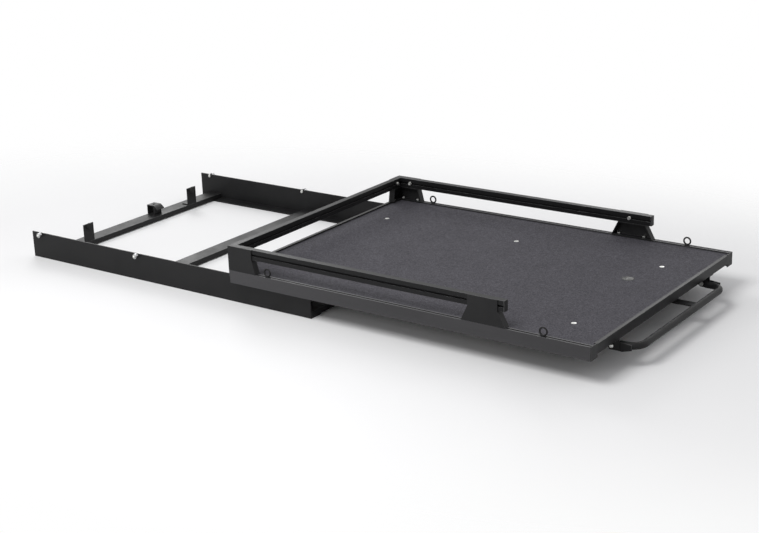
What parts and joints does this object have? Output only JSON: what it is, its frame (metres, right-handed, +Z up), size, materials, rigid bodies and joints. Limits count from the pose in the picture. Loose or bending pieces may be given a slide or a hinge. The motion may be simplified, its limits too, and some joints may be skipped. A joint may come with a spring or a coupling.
{
  "type": "truck bed slide",
  "caption": "Black pull-out cargo deck with guard rails on a bed frame with rollers and a latch, shown fully out",
  "frame": {"origin": "middle of the four bed-bolt holes, on the bed floor", "axes": "X right, Y forward to the cab, Z up"},
  "size_m": [1.219, 2.9435, 0.254],
  "materials": {
    "black_extrusion": "satin black coat on extruded aluminium",
    "grey_deck": "fine-grained grey non-slip face on board",
    "black_steel": "satin black coat on folded steel",
    "zinc_steel": "bright zinc plate",
    "black_plastic": "moulded black plastic",
    "stop_rubber": "black rubber",
    "roller_steel": "ground bearing steel"
  },
  "bodies": {
    "base": {"base_cross_members": "black_steel", "base_nuts": "zinc_steel", "base_rail_left": "black_steel", "base_rail_right": "black_steel", "latch_keeper": "black_steel", "roller_axle_bolts": "zinc_steel", "roller_inner_races": "roller_steel", "stop_brackets": "black_steel", "stop_bumpers": "stop_rubber"},
    "deck": {"access_hole_ring": "zinc_steel", "bracket_foot_bolts": "zinc_steel", "corner_bracket_left": "black_steel", "corner_bracket_right": "black_steel", "corner_cleats": "black_steel", "cross_member_rivets": "zinc_steel", "deck_board": "grey_deck", "deck_cross_member_1": "black_steel", "deck_cross_member_2": "black_steel", "deck_cross_member_3": "black_steel", "deck_screws": "zinc_steel", "end_caps": "black_plastic", "end_frame_rivets": "zinc_steel", "front_bracket_bolts": "zinc_steel", "front_end_rail": "black_extrusion", "front_rail_nuts": "zinc_steel", "guard_rail_caps": "black_plastic", "guard_rail_front": "black_extrusion", "guard_rail_left": "black_extrusion", "guard_rail_right": "black_extrusion", "handle_hangers": "black_steel", "handle_pivot_bolts": "zinc_steel", "handle_pivot_nuts": "zinc_steel", "latch_housing": "black_steel", "rail_bolt_washers": "zinc_steel", "rail_bolts": "zinc_steel", "rear_bracket_left": "black_steel", "rear_bracket_right": "black_steel", "rear_end_rail": "black_extrusion", "rod_guides": "black_steel", "side_extrusion_left": "black_extrusion", "side_extrusion_right": "black_extrusion", "slot_nuts": "zinc_steel", "stop_tabs": "black_steel", "tie_down_eyes": "black_steel"},
    "handle": {"handle_arms": "black_steel", "handle_tube": "black_steel", "latch_lever": "black_steel", "lever_pin": "zinc_steel"},
    "rod": {"pull_rod": "zinc_steel"},
    "plunger": {"latch_plunger": "zinc_steel", "plunger_cross_pin": "zinc_steel", "latch_spring": "zinc_steel"},
    "roller_left_1": {"roller_left_1": "roller_steel"},
    "roller_left_2": {"roller_left_2": "roller_steel"},
    "roller_left_3": {"roller_left_3": "roller_steel"},
    "roller_left_4": {"roller_left_4": "roller_steel"},
    "roller_right_1": {"roller_right_1": "roller_steel"},
    "roller_right_2": {"roller_right_2": "roller_steel"},
    "roller_right_3": {"roller_right_3": "roller_steel"},
    "roller_right_4": {"roller_right_4": "roller_steel"}
  },
  "joints": [
    {"name": "deck_slide", "type": "slide", "parent": "base", "child": "deck", "axis": [0, 1, 0], "range_m": [0, 1.238]},
    {"name": "handle_pivot", "type": "hinge", "parent": "deck", "child": "handle", "pos_m": [0, -2.0315, 0.076], "axis": [-1, 0, 0], "range_deg": [0, 20]},
    {"name": "rod_slide", "type": "slide", "parent": "deck", "child": "rod", "axis": [0, 1, 0], "range_m": [0, 0.01187]},
    {"name": "plunger_slide", "type": "slide", "parent": "deck", "child": "plunger", "axis": [0, 0, 1], "range_m": [0, 0.01187], "deforming": ["latch_spring"]},
    {"name": "roller_left_1_spin", "type": "hinge", "parent": "base", "child": "roller_left_1", "pos_m": [-0.5875, -0.76, 0.1103], "axis": [1, 0, 0], "range_deg": [-6450, 0]},
    {"name": "roller_left_2_spin", "type": "hinge", "parent": "base", "child": "roller_left_2", "pos_m": [-0.5875, -0.46, 0.1103], "axis": [1, 0, 0], "range_deg": [-6450, 0]},
    {"name": "roller_left_3_spin", "type": "hinge", "parent": "base", "child": "roller_left_3", "pos_m": [-0.5875, 0.14, 0.1103], "axis": [1, 0, 0], "continuous": true},
    {"name": "roller_left_4_spin", "type": "hinge", "parent": "base", "child": "roller_left_4", "pos_m": [-0.5875, 0.74, 0.1103], "axis": [1, 0, 0], "continuous": true},
    {"name": "roller_right_1_spin", "type": "hinge", "parent": "base", "child": "roller_right_1", "pos_m": [0.5875, -0.76, 0.1103], "axis": [1, 0, 0], "range_deg": [-6450, 0]},
    {"name": "roller_right_2_spin", "type": "hinge", "parent": "base", "child": "roller_right_2", "pos_m": [0.5875, -0.46, 0.1103], "axis": [1, 0, 0], "range_deg": [-6450, 0]},
    {"name": "roller_right_3_spin", "type": "hinge", "parent": "base", "child": "roller_right_3", "pos_m": [0.5875, 0.14, 0.1103], "axis": [1, 0, 0], "continuous": true},
    {"name": "roller_right_4_spin", "type": "hinge", "parent": "base", "child": "roller_right_4", "pos_m": [0.5875, 0.74, 0.1103], "axis": [1, 0, 0], "continuous": true}
  ],
  "couplings": [
    {"joint": "rod_slide", "follows": "handle_pivot", "m_per_rad": 0.034},
    {"joint": "plunger_slide", "follows": "handle_pivot", "m_per_rad": 0.034},
    {"joint": "roller_left_1_spin", "follows": "deck_slide", "rad_per_m": -90.909},
    {"joint": "roller_left_2_spin", "follows": "deck_slide", "rad_per_m": -90.909},
    {"joint": "roller_right_1_spin", "follows": "deck_slide", "rad_per_m": -90.909},
    {"joint": "roller_right_2_spin", "follows": "deck_slide", "rad_per_m": -90.909}
  ]
}
